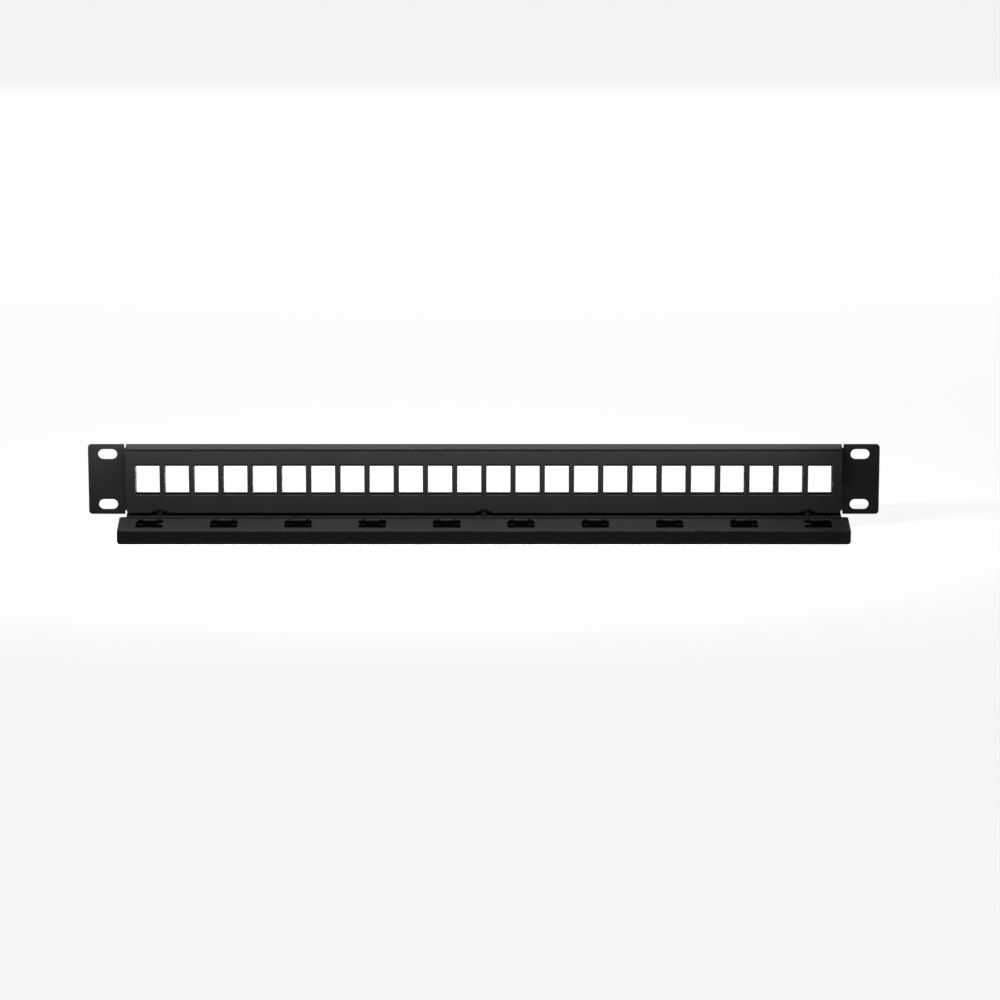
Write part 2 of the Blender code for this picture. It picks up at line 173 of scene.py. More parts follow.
class PatchPanelFastenerSizes(bpy.types.PropertyGroup):
    """Sizes of the standoffs and the screws."""

    standoff_radius: length("Standoff radius", "Outer radius of a standoff", 2.1)
    bore: length("Bore", "Radius of the standoff's bore", 1.6)
    core: length("Core radius", "Radius of the screw under its thread", 1.22)
    ridge: length("Thread ridge", "Half thickness of the thread", 0.14)
    pitch: length("Thread pitch", "Rise of the thread in one turn", 0.5)
    dome: length("Head dome", "Radius of the head's rounded edge", 0.8)
    recess_width: length("Recess width", "Width of the cross recess", 0.8)
    recess_span: length("Recess span", "Span of the cross recess", 3.0)
    recess_depth: length("Recess depth", "Depth of the cross recess", 1.0)


class PatchPanelFinish(bpy.types.PropertyGroup):
    """Colours and grain of the finishes."""

    coat: colour("Powder coat", "Matt black coat on the sheets", (0.0125, 0.0125, 0.0130))
    coat_light: colour("Coat grain", "Tips of the coat's grain", (0.0235, 0.0235, 0.0245))
    # Painted shade: a colour that darkens the rear-facing faces under the tray's shelf and stands in for the
    # shadow there
    painted_shade_colour: colour("Painted_shade", "Hidden faces that look to the rear", (0.0016, 0.0016, 0.0017))
    coat_roughness: share("Coat roughness", "Roughness of the powder coat", 0.50)
    grain: length("Grain", "Size of the coat's grain", 0.42)
    peel: length("Orange peel", "Size of the coat's soft waves", 2.6)
    plating: colour("Plating", "Black zinc on the standoffs and screws", (0.022, 0.022, 0.024))
    standoff_roughness: share("Standoff roughness", "Roughness of the standoffs", 0.26)
    screw_roughness: share("Screw roughness", "Roughness of the screws", 0.3)


class PatchPanelStage(bpy.types.PropertyGroup):
    """Camera and lights."""

    elevation: bpy.props.FloatProperty(
        name="Elevation", description="Camera above the horizon", default=math.radians(16.0), subtype="ANGLE"
    )
    distance: length("Distance", "From the camera to the panel", 3500.0)
    lens: bpy.props.FloatProperty(name="Lens", description="Focal length", default=206.46, unit="CAMERA")
    shift_x: share("Shift X", "Sideways lens shift", 0.01615, -1.0, 1.0)
    shift_y: share("Shift Y", "Upward lens shift", -0.02075, -1.0, 1.0)
    surround: share("Surround", "Even light from all round", 0.02, 0.0, 10.0)
    strip: share("Strip light", "Power of the strip above the tray, in watts", 0.35, 0.0, 100.0)
    key: share("Key light", "Power of the softbox above, in watts", 0.09, 0.0, 100.0)
    fill: share("Fill light", "Power of the softbox behind the rack, in watts", 1.9, 0.0, 100.0)
    top: share("Top light", "Power of the high softbox in front of the rack, in watts", 2.2, 0.0, 100.0)
    front: share("Front light", "Power of the low softbox in front of the rack, in watts", 14.0, 0.0, 100.0)
    under: share("Under light", "Power of the softbox below, in watts", 6.0, 0.0, 100.0)


SETTINGS = {
    "patch_panel_sheet": PatchPanelSheetSizes,
    "patch_panel_port": PatchPanelPortSizes,
    "patch_panel_tray": PatchPanelTraySizes,
    "patch_panel_fastener": PatchPanelFastenerSizes,
    "patch_panel_finish": PatchPanelFinish,
    "patch_panel_stage": PatchPanelStage,
}


def settings(name):
    """One group of settings of the scene."""
    return getattr(bpy.context.scene, "patch_panel_" + name)


# Node trees


class Value:
    """An output of a node, on which sums can be written."""

    def __init__(self, nodes, socket):
        self.nodes = nodes
        self.socket = socket

    def sum(self, operation, first, second):
        """A Math node on two values."""
        return self.nodes.add("ShaderNodeMath", {"operation": operation}, {0: first, 1: second})["Value"]

    def __add__(self, other):
        return self.sum("ADD", self, other)

    def __radd__(self, other):
        return self.sum("ADD", other, self)

    def __sub__(self, other):
        return self.sum("SUBTRACT", self, other)

    def __rsub__(self, other):
        return self.sum("SUBTRACT", other, self)

    def __mul__(self, other):
        return self.sum("MULTIPLY", self, other)

    def __rmul__(self, other):
        return self.sum("MULTIPLY", other, self)

    def __truediv__(self, other):
        return self.sum("DIVIDE", self, other)

    def __rtruediv__(self, other):
        return self.sum("DIVIDE", other, self)

    def __gt__(self, other):
        return self.sum("GREATER_THAN", self, other)

    def __lt__(self, other):
        return self.sum("LESS_THAN", self, other)


class Node:
    """A node whose outputs are asked for by name."""

    def __init__(self, nodes, node):
        self.nodes = nodes
        self.node = node

    def __getitem__(self, key):
        return Value(self.nodes, find(self.node.outputs, key))


def find(sockets, key):
    """A socket by its place, its identifier or its name."""
    if isinstance(key, int):
        return sockets[key]
    for socket in sockets:
        if socket.identifier == key:
            return socket
    for socket in sockets:
        if socket.name == key and socket.enabled:
            return socket
    raise KeyError(f"no socket {key!r} among {[socket.name for socket in sockets]}")


class Nodes:
    """Fills one node tree."""

    def __init__(self, tree):
        self.tree = tree

    def add(self, kind, options=None, sockets=None):
        """A node of a kind, with its options set first and then the values or links of its sockets."""
        node = self.tree.nodes.new(kind)
        for name, value in (options or {}).items():
            setattr(node, name, value)
        for key, value in (sockets or {}).items():
            socket = find(node.inputs, key)
            for item in value if isinstance(value, list) else [value]:
                if isinstance(item, Value):
                    self.tree.links.new(item.socket, socket)
                else:
                    socket.default_value = item
        return Node(self, node)

    def combine(self, x, y, z):
        """A vector from three values."""
        return self.add("ShaderNodeCombineXYZ", None, {"X": x, "Y": y, "Z": z})["Vector"]


# Geometry Nodes


def geometry_tree(name, inputs):
    """A tree with a geometry input and named inputs, and its node that gives them."""
    tree = bpy.data.node_groups.new(name, "GeometryNodeTree")
    tree.is_modifier = True
    tree.interface.new_socket("Geometry", in_out="INPUT", socket_type="NodeSocketGeometry")
    for socket_name, kind in inputs.items():
        tree.interface.new_socket(socket_name, in_out="INPUT", socket_type="NodeSocket" + kind)
    tree.interface.new_socket("Material", in_out="INPUT", socket_type="NodeSocketMaterial")
    tree.interface.new_socket("Geometry", in_out="OUTPUT", socket_type="NodeSocketGeometry")
    nodes = Nodes(tree)
    return nodes, nodes.add("NodeGroupInput")


def end_tree(nodes, given, geometry):
    """Realise the result, give it its material and end the tree."""
    real = nodes.add("GeometryNodeRealizeInstances", None, {"Geometry": geometry})["Geometry"]
    painted = nodes.add("GeometryNodeSetMaterial", None, {"Geometry": real, "Material": given["Material"]})
    nodes.add("NodeGroupOutput", None, {"Geometry": painted["Geometry"]})
    return nodes.tree


def thickened(nodes, face, along):
    """A closed solid from flat faces that are carried along a vector."""
    sides = nodes.add(
        "GeometryNodeExtrudeMesh",
        {"mode": "FACES"},
        {"Mesh": face, "Offset": along, "Offset Scale": 1.0, "Individual": False},
    )["Mesh"]
    base = nodes.add("GeometryNodeFlipFaces", None, {"Mesh": face})["Mesh"]
    both = nodes.add("GeometryNodeJoinGeometry", None, {"Geometry": [sides, base]})["Geometry"]
    return nodes.add("GeometryNodeMergeByDistance", None, {"Geometry": both, "Distance": MERGE})["Geometry"]


def row_of_points(nodes, given):
    """Points along X, centred on zero."""
    half = (given["Count"] - 1) * given["Pitch"] * -0.5
    return nodes.add(
        "GeometryNodeMeshLine",
        {"mode": "OFFSET"},
        {
            "Count": given["Count"],
            "Start Location": nodes.combine(half, 0.0, 0.0),
            "Offset": nodes.combine(given["Pitch"], 0.0, 0.0),
        },
    )["Mesh"]


def folded_sheet_tree():
    """The section of a folded sheet, carried along the panel."""
    nodes, given = geometry_tree("folded_sheet", {"Width": "Float"})
    solid = thickened(nodes, given["Geometry"], nodes.combine(given["Width"], 0.0, 0.0))
    return end_tree(nodes, given, solid)


def row_of_openings_tree():
    """A row of equal openings with round corners, cut through a sheet."""
    inputs = {"Count": "Int", "Pitch": "Float", "Width": "Float", "Height": "Float"}
    inputs.update({"Corner": "Float", "Depth": "Float", "Centre": "Vector", "Turn": "Vector"})
    nodes, given = geometry_tree("row_of_openings", inputs)
    outline = nodes.add(
        "GeometryNodeCurvePrimitiveQuadrilateral",
        {"mode": "RECTANGLE"},
        {"Width": given["Width"], "Height": given["Height"]},
    )["Curve"]
    rounded = nodes.add(
        "GeometryNodeFilletCurve",
        {"mode": "POLY"},
        {"Curve": outline, "Count": SMALL_STEPS - 1, "Radius": given["Corner"], "Limit Radius": True},
    )["Curve"]
    face = nodes.add("GeometryNodeFillCurve", {"mode": "NGONS"}, {"Curve": rounded})["Mesh"]
    low = nodes.add(
        "GeometryNodeTransform",
        None,
        {"Geometry": face, "Translation": nodes.combine(0.0, 0.0, given["Depth"] * -0.5)},
    )["Geometry"]
    punch = thickened(nodes, low, nodes.combine(0.0, 0.0, given["Depth"]))
    turned = nodes.add(
        "GeometryNodeTransform",
        None,
        {"Geometry": punch, "Translation": given["Centre"], "Rotation": given["Turn"]},
    )["Geometry"]
    punches = nodes.add(
        "GeometryNodeInstanceOnPoints", None, {"Points": row_of_points(nodes, given), "Instance": turned}
    )["Instances"]
    real = nodes.add("GeometryNodeRealizeInstances", None, {"Geometry": punches})["Geometry"]
    cut = nodes.add(
        "GeometryNodeMeshBoolean",
        {"operation": "DIFFERENCE", "solver": "EXACT"},
        {"Mesh 1": given["Geometry"], "Mesh 2": real},
    )["Mesh"]
    return end_tree(nodes, given, cut)


def row_of_tabs_tree():
    """A row of equal tabs, joined onto a sheet."""
    nodes, given = geometry_tree("row_of_tabs", {"Tab": "Object", "Count": "Int", "Pitch": "Float"})
    tab = nodes.add(
        "GeometryNodeObjectInfo", {"transform_space": "ORIGINAL"}, {"Object": given["Tab"]}
    )["Geometry"]
    tabs = nodes.add(
        "GeometryNodeInstanceOnPoints", None, {"Points": row_of_points(nodes, given), "Instance": tab}
    )["Instances"]
    real = nodes.add("GeometryNodeRealizeInstances", None, {"Geometry": tabs})["Geometry"]
    joined = nodes.add(
        "GeometryNodeMeshBoolean",
        {"operation": "UNION", "solver": "EXACT"},
        {"Mesh 2": [given["Geometry"], real]},
    )["Mesh"]
    return end_tree(nodes, given, joined)


def screw_thread_tree():
    """A thread that is wound round a shank."""
    inputs = {"Core": "Float", "Ridge": "Float", "Pitch": "Float", "Length": "Float", "Foot": "Vector"}
    nodes, given = geometry_tree("screw_thread", inputs)
    turns = given["Length"] / given["Pitch"]
    coil = nodes.add(
        "GeometryNodeCurveSpiral",
        None,
        {
            "Resolution": 40,
            "Rotations": turns,
            "Start Radius": given["Core"],
            "End Radius": given["Core"],
            "Height": given["Length"],
        },
    )["Curve"]
    section = nodes.add(
        "GeometryNodeCurvePrimitiveCircle", {"mode": "RADIUS"}, {"Resolution": 6, "Radius": given["Ridge"]}
    )["Curve"]
    ridge = nodes.add(
        "GeometryNodeCurveToMesh", None, {"Curve": coil, "Profile Curve": section, "Fill Caps": True}
    )["Mesh"]
    placed = nodes.add(
        "GeometryNodeTransform", None, {"Geometry": ridge, "Translation": given["Foot"]}
    )["Geometry"]
    both = nodes.add("GeometryNodeJoinGeometry", None, {"Geometry": [given["Geometry"], placed]})["Geometry"]
    return end_tree(nodes, given, both)


def grow(thing, tree, material, **values):
    """Put a tree on an object as a modifier, with its inputs set."""
    modifier = thing.modifiers.new(tree.name, "NODES")
    modifier.node_group = tree
    values["Material"] = material
    for item in tree.interface.items_tree:
        if item.item_type == "SOCKET" and item.in_out == "INPUT" and item.name in values:
            modifier[item.identifier] = values[item.name]


# Outlines and solids


def arc(centre, radius, start, end, steps):
    """Points along an arc, with its angles in degrees."""
    angles = [math.radians(start + (end - start) * i / steps) for i in range(steps + 1)]
    return [(centre[0] + radius * math.cos(a), centre[1] + radius * math.sin(a)) for a in angles]


def circle(centre, radius):
    """A closed round outline."""
    return arc(centre, radius, 0, 360 - 360 / ROUND_STEPS, ROUND_STEPS - 1)


def rounded_rectangle(x_range, y_range, radius, steps=SMALL_STEPS):
    """A closed outline with round corners."""
    x0, x1 = x_range
    y0, y1 = y_range
    outline = arc((x0 + radius, y0 + radius), radius, 180, 270, steps)
    outline += arc((x1 - radius, y0 + radius), radius, 270, 360, steps)
    outline += arc((x1 - radius, y1 - radius), radius, 0, 90, steps)
    outline += arc((x0 + radius, y1 - radius), radius, 90, 180, steps)
    return outline


def around(centre, width):
    """The range of a given width about a centre."""
    return centre - width / 2, centre + width / 2


def mirrored(outline):
    """An outline and its image on the other side of the panel's middle."""
    return [outline, [(-x, y) for x, y in outline]]


def rounded_path(points, radius, steps):
    """An open path whose inner corners are rounded with arcs."""
    path = [points[0]]
    for before, corner, after in zip(points, points[1:], points[2:]):
        corner = Vector(corner)
        to_before = (Vector(before) - corner).normalized()
        to_after = (Vector(after) - corner).normalized()
        half_angle = to_before.angle(to_after) / 2
        centre = corner + (to_before + to_after).normalized() * radius / math.sin(half_angle)
        spoke = corner + to_before * radius / math.tan(half_angle) - centre
        last_spoke = corner + to_after * radius / math.tan(half_angle) - centre
        step = Matrix.Rotation(-spoke.angle_signed(last_spoke) / steps, 2)
        for _ in range(steps + 1):
            path.append(tuple(centre + spoke))
            spoke = step @ spoke
    return path + [points[-1]]


def folded_section(corners, side):
    """The closed section of a folded sheet in the YZ plane, from the corners of its outer surface."""
    size = settings("sheet")
    strides = [(Vector(b) - Vector(a)).normalized() for a, b in zip(corners, corners[1:])]
    normals = [Vector((-stride.y, stride.x)) * side for stride in strides]
    inner = [Vector(corners[0]) + normals[0] * size.sheet]
    for corner, first, second in zip(corners[1:-1], normals, normals[1:]):
        inner.append(Vector(corner) + (first + second) * size.sheet)
    inner.append(Vector(corners[-1]) + normals[-1] * size.sheet)
    outer_path = rounded_path(corners, size.bend_outer, size.bend_steps)
    inner_path = rounded_path([tuple(point) for point in inner], size.bend_inner, size.bend_steps)
    return outer_path + inner_path[::-1]


def new_object(name, mesh):
    """An object that holds a mesh, at the origin."""
    thing = bpy.data.objects.new(name, mesh)
    bpy.context.scene.collection.objects.link(thing)
    return thing


def mesh_from(name, bm):
    """A mesh from a finished bmesh."""
    mesh = bpy.data.meshes.new(name)
    bm.to_mesh(mesh)
    bm.free()
    return mesh


def section_object(name, section, start):
    """A single face in the YZ plane that looks along +X, for the folded sheet tree."""
    area = sum(a[0] * b[1] - b[0] * a[1] for a, b in zip(section, section[1:] + section[:1]))
    bm = bmesh.new()
    corners = [bm.verts.new((start, y, z)) for y, z in (section if area > 0 else section[::-1])]
    bm.faces.new(corners)
    return new_object(name, mesh_from(name, bm))


def prisms(name, outlines, low, high, facing):
    """Closed solids with flat outlines: in the XZ plane if facing, and otherwise in the XY plane."""
    bm = bmesh.new()
    for outline in outlines:
        points = [(x, low, z) for x, z in outline] if facing else [(x, y, low) for x, y in outline]
        face = bm.faces.new([bm.verts.new(point) for point in points])
        grown = bmesh.ops.extrude_face_region(bm, geom=[face])["geom"]
        moved = [item for item in grown if isinstance(item, bmesh.types.BMVert)]
        step = (0, high - low, 0) if facing else (0, 0, high - low)
        bmesh.ops.translate(bm, verts=moved, vec=step)
    bmesh.ops.recalc_face_normals(bm, faces=bm.faces)
    return new_object(name, mesh_from(name, bm))


def turned(name, profile, place, closed=False):
    """A solid of revolution about Z, from a profile that runs down its outer side."""
    bm = bmesh.new()
    corners = [bm.verts.new((radius, 0, height)) for radius, height in profile]
    for a, b in zip(corners, corners[1:]):
        bm.edges.new((a, b))
    if closed:
        bm.edges.new((corners[-1], corners[0]))
    bmesh.ops.spin(
        bm,
        geom=bm.verts[:] + bm.edges[:],
        cent=(0, 0, 0),
        axis=(0, 0, 1),
        dvec=(0, 0, 0),
        angle=2 * math.pi,
        steps=ROUND_STEPS,
        use_merge=True,
        use_duplicate=False,
    )
    bmesh.ops.remove_doubles(bm, verts=bm.verts, dist=MERGE)
    bmesh.ops.recalc_face_normals(bm, faces=bm.faces)
    bmesh.ops.translate(bm, verts=bm.verts, vec=place)
    return new_object(name, mesh_from(name, bm))


def combine(thing, other, operation):
    """Cut another solid from a solid, or join it on."""
    modifier = thing.modifiers.new(other.name, "BOOLEAN")
    modifier.operation = operation
    modifier.solver = "EXACT"
    modifier.object = other
    return other


def soften(thing, radius):
    """Round the sharp edges and keep the flat faces flat in the light."""
    bevel = thing.modifiers.new("rounding", "BEVEL")
    bevel.width = radius
    bevel.segments = 2
    bevel.limit_method = "ANGLE"
    bevel.angle_limit = math.radians(40)
    bevel.miter_outer = "MITER_ARC"
    bevel.use_clamp_overlap = True
    even = thing.modifiers.new("even_normals", "WEIGHTED_NORMAL")
    even.weight = 100
    even.keep_sharp = False


def settle(name, thing, helpers, material, nodes):
    """Turn an object with its modifiers into a plain piece that stands for CAD nodes."""
    bpy.context.view_layer.update()
    depsgraph = bpy.context.evaluated_depsgraph_get()
    mesh = bpy.data.meshes.new_from_object(
        thing.evaluated_get(depsgraph), preserve_all_data_layers=True, depsgraph=depsgraph
    )
    for leftover in [thing] + helpers:
        bpy.data.objects.remove(leftover, do_unlink=True)
    if not mesh.polygons:
        raise RuntimeError(f"{name} came out empty")
    mesh.name = name
    mesh.materials.clear()
    mesh.materials.append(material)
    mesh.polygons.foreach_set("material_index", [0] * len(mesh.polygons))
    piece = new_object(name, mesh)
    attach(piece, "root")
    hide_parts(*nodes)


# Finishes


def new_material(name):
    """An empty material and its nodes."""
    material = bpy.data.materials.new(name)
    material.use_nodes = True
    material.node_tree.nodes.clear()
    return material, Nodes(material.node_tree)


def noise(nodes, place, size, detail=2.0, rough=0.5):
    """Noise between 0 and 1 whose lumps have a size."""
    sockets = {"Vector": place, "Scale": 1 / size, "Detail": detail, "Roughness": rough}
    return nodes.add("ShaderNodeTexNoise", {"noise_dimensions": "3D"}, sockets)["Fac"]


def mixed(nodes, factor, first, second):
    """A colour between two colours, of which the first may come from a node."""
    ends = {"A_Color": first if isinstance(first, Value) else (*first, 1), "B_Color": (*second, 1)}
    return nodes.add(
        "ShaderNodeMix",
        {"data_type": "RGBA", "clamp_factor": True},
        {"Factor_Float": factor, **ends},
    )["Result_Color"]


def surface(nodes, sockets):
    """End a material with its main shader."""
    shader = nodes.add("ShaderNodeBsdfPrincipled", None, sockets)
    nodes.add("ShaderNodeOutputMaterial", None, {"Surface": shader["BSDF"]})


def painted_shade_mask(nodes, place, line_y, line_z):
    """One on the faces that look to the rear, forward of a line along the panel and below it: where shade is
    painted into the coat.
    """
    axes = nodes.add("ShaderNodeSeparateXYZ", None, {"Vector": place})
    forward = axes["Y"] > line_y
    below = axes["Z"] < line_z
    normal = nodes.add("ShaderNodeNewGeometry")["Normal"]
    facing = nodes.add("ShaderNodeSeparateXYZ", None, {"Vector": normal})["Y"]
    return forward * below * (facing < -0.5)


def powder_coat(name, offset, painted_shade_line=None):
    """Black powder coat with a fine grain, soft waves and slightly uneven gloss.

    With a line for painted shade, given by its Y and Z, the rear faces forward of it and below it get a
    darker colour and less specular, as painted shade.
    """
    finish = settings("finish")
    material, nodes = new_material(name)
    place = nodes.add("ShaderNodeTexCoord")["Object"]
    moved = nodes.add("ShaderNodeMapping", None, {"Vector": place, "Location": offset})["Vector"]
    grain = noise(nodes, moved, finish.grain, 3.0, 0.6)
    cells = nodes.add(
        "ShaderNodeTexVoronoi",
        {"voronoi_dimensions": "3D", "feature": "SMOOTH_F1"},
        {"Vector": moved, "Scale": 0.7 / finish.grain, "Smoothness": 0.6},
    )["Distance"]
    waves = noise(nodes, moved, finish.peel, 1.0)
    cloud = noise(nodes, moved, 28 * MM, 2.0)
    height = grain * 0.55 + cells * 0.45 + waves * 1.6
    bump = nodes.add("ShaderNodeBump", None, {"Height": height, "Distance": 0.05 * MM, "Strength": 0.45})
    tips = (grain - 0.42) * 2.2 + (cloud - 0.5) * 0.5
    gloss = finish.coat_roughness + (cloud - 0.5) * 0.10 + (cells - 0.5) * 0.06
    tint = mixed(nodes, tips, finish.coat, finish.coat_light)
    sockets = {"Base Color": tint, "Roughness": gloss, "Normal": bump["Normal"]}
    # Painted shade: rear-facing faces forward of the line and below it get a darker colour and less specular,
    # in place of shadow
    if painted_shade_line:
        painted_shade_weight = painted_shade_mask(nodes, place, *painted_shade_line)
        sockets["Base Color"] = mixed(nodes, painted_shade_weight, tint, finish.painted_shade_colour)
        sockets["Metallic"] = painted_shade_weight * 0.7
    surface(nodes, sockets)
    return material


def black_plating(name, offset, roughness):
    """Black zinc with faint turning rings and cloudy gloss."""
    finish = settings("finish")
    material, nodes = new_material(name)
    place = nodes.add("ShaderNodeTexCoord")["Object"]
    moved = nodes.add("ShaderNodeMapping", None, {"Vector": place, "Location": offset})["Vector"]
    rings = nodes.add(
        "ShaderNodeTexWave",
        {"wave_type": "BANDS", "bands_direction": "Z"},
        {"Vector": moved, "Scale": 1 / (1.6 * MM), "Distortion": 1.5, "Detail": 2.0},
    )["Fac"]
    speckle = noise(nodes, moved, 0.3 * MM, 3.0, 0.6)
    cloud = noise(nodes, moved, 1.5 * MM)
    height = rings * 0.5 + speckle * 0.5
    bump = nodes.add("ShaderNodeBump", None, {"Height": height, "Distance": 0.01 * MM, "Strength": 0.35})
    lighter = tuple(channel * 1.8 for channel in finish.plating)
    surface(
        nodes,
        {
            "Base Color": mixed(nodes, speckle * 0.7 + cloud * 0.3, finish.plating, lighter),
            "Metallic": 0.55,
            "Roughness": roughness + (cloud - 0.5) * 0.14 + (speckle - 0.5) * 0.08,
            "Normal": bump["Normal"],
        },
    )
    return material


# Pieces


def fastener_places():
    """The middle of each standoff in X and Y, from its CAD node."""
    places = {}
    for place_name in PLACES:
        low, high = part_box("clinch_standoff_" + place_name)
        places[place_name] = ((low.x + high.x) / 2, (low.y + high.y) / 2)
    return places


def row_values(port, width, height, centre_z, centre_y):
    """Inputs for one row of port openings."""
    return {
        "Count": port.count,
        "Pitch": port.pitch,
        "Width": width,
        "Height": height,
        "Corner": port.corner,
        "Depth": 4 * settings("sheet").sheet,
        "Centre": (0.0, centre_y, centre_z),
        "Turn": (math.pi / 2, 0.0, 0.0),
    }


class PATCH_PANEL_OT_front_panel(bpy.types.Operator):
    """Make the sheet with the ears, the front openings and both flanges."""

    bl_idname = "patch_panel.front_panel"
    bl_label = "Front panel"

    def execute(self, context):
        size = settings("sheet")
        port = settings("port")
        coat = powder_coat("panel_powder_coat", (0.3, 0.1, 0.2))
        half = PANEL_HIGH.x - size.ear_width
        top, bottom = PANEL_HIGH.z, PANEL_LOW.z
        back, front = PANEL_LOW.y, PANEL_HIGH.y
        section = folded_section([(back, top), (front, top), (front, bottom), (back, bottom)], -1)
        panel = section_object("front_panel_blank", section, -half)
        grow(panel, folded_sheet_tree(), coat, Width=2 * half)
        helpers = [combine(panel, prisms("ears", mirrored(self.ear(size, half)), 0.0, front, True), "UNION")]
        grow(
            panel,
            row_of_openings_tree(),
            coat,
            **row_values(port, port.front_width, port.front_height, 0.0, front / 2),
        )
        x_place = PANEL_HIGH.x - size.slot_from_end
        z_place = top - size.slot_from_edge
        radius = size.slot_height / 2
        slots = [
            rounded_rectangle(
                around(x, size.slot_length), around(z, size.slot_height), radius, 4 * SMALL_STEPS
            )
            for x in (-x_place, x_place)
            for z in (-z_place, z_place)
        ]
        helpers.append(combine(panel, prisms("slots", slots, -front, 2 * front, True), "DIFFERENCE"))
        low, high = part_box("clinch_standoff_centre")
        radius = (high.x - low.x) / 2 + size.clearance
        holes = [circle(place, radius) for place in fastener_places().values()]
        through = (bottom - size.sheet, bottom + 2 * size.sheet)
        helpers.append(combine(panel, prisms("clinch_holes", holes, *through, False), "DIFFERENCE"))
        soften(panel, size.rounding)
        settle("front_panel_sheet", panel, helpers, coat, ["front_panel"])
        return {"FINISHED"}

    def ear(self, size, half):
        """One ear, with the reliefs that let the flanges fold beside it."""
        outer = PANEL_HIGH.x
        top, bottom = PANEL_HIGH.z, PANEL_LOW.z
        relieved = half + size.relief_width
        shoulder = top - size.relief_depth
        corner = size.ear_corner
        outline = arc((outer - corner, bottom + corner), corner, 270, 360, CORNER_STEPS)
        outline += arc((outer - corner, top - corner), corner, 0, 90, CORNER_STEPS)
        outline += [(relieved, top), (relieved, shoulder), (half, shoulder)]
        return outline + [(half, -shoulder), (relieved, -shoulder), (relieved, bottom)]


class PATCH_PANEL_OT_retaining_channel(bpy.types.Operator):
    """Make the folded sheet that catches the jacks behind the ports."""

    bl_idname = "patch_panel.retaining_channel"
    bl_label = "Retaining channel"

    def execute(self, context):
        size = settings("sheet")
        port = settings("port")
        fastener = settings("fastener")
        coat = powder_coat("channel_powder_coat", (0.7, 0.4, 0.1))
        half = CHANNEL_HIGH.x
        top, bottom = CHANNEL_HIGH.z, CHANNEL_LOW.z
        face, front = CHANNEL_LOW.y, CHANNEL_HIGH.y
        section = folded_section([(front, top), (face, top), (face, bottom), (front, bottom)], 1)
        channel = section_object("retaining_channel_blank", section, -half)
        grow(channel, folded_sheet_tree(), coat, Width=2 * half)
        upper = port.front_height / 2 + port.latch_step
        lower = port.hook_step - port.front_height / 2
        grow(
            channel,
            row_of_openings_tree(),
            coat,
            **row_values(port, port.rear_width, upper - lower, (upper + lower) / 2, face + size.sheet / 2),
        )
        below = bottom - size.sheet
        standoff_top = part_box("clinch_standoff_centre")[1].z
        places = fastener_places()
        spare = 0.2 * MM
        reach = places["centre"][1] + fastener.standoff_radius + spare + size.clearance
        relief_width = 2 * (fastener.standoff_radius + size.clearance)
        widths = (
            ("notches", port.notch_width, bottom + port.notch_height),
            ("standoff_reliefs", relief_width, standoff_top + size.clearance),
        )
        helpers = []
        for cut_name, width, cut_top in widths:
            outlines = [
                rounded_rectangle(around(x, width), (below, cut_top), port.corner) for x, _ in places.values()
            ]
            cuts = prisms(cut_name, outlines, face - size.sheet, reach, True)
            helpers.append(combine(channel, cuts, "DIFFERENCE"))
        chamfer = [
            (half + size.sheet, below),
            (half - port.chamfer_width, below),
            (half - port.chamfer_width, bottom),
            (half, bottom + port.chamfer_height),
            (half + size.sheet, bottom + port.chamfer_height),
        ]
        corners = prisms("chamfers", mirrored(chamfer), face - size.sheet, 0.0, True)
        helpers.append(combine(channel, corners, "DIFFERENCE"))
        soften(channel, size.rounding)
        nodes = ["retaining_channel"]
        settle("retaining_channel_sheet", channel, helpers, coat, nodes)
        return {"FINISHED"}


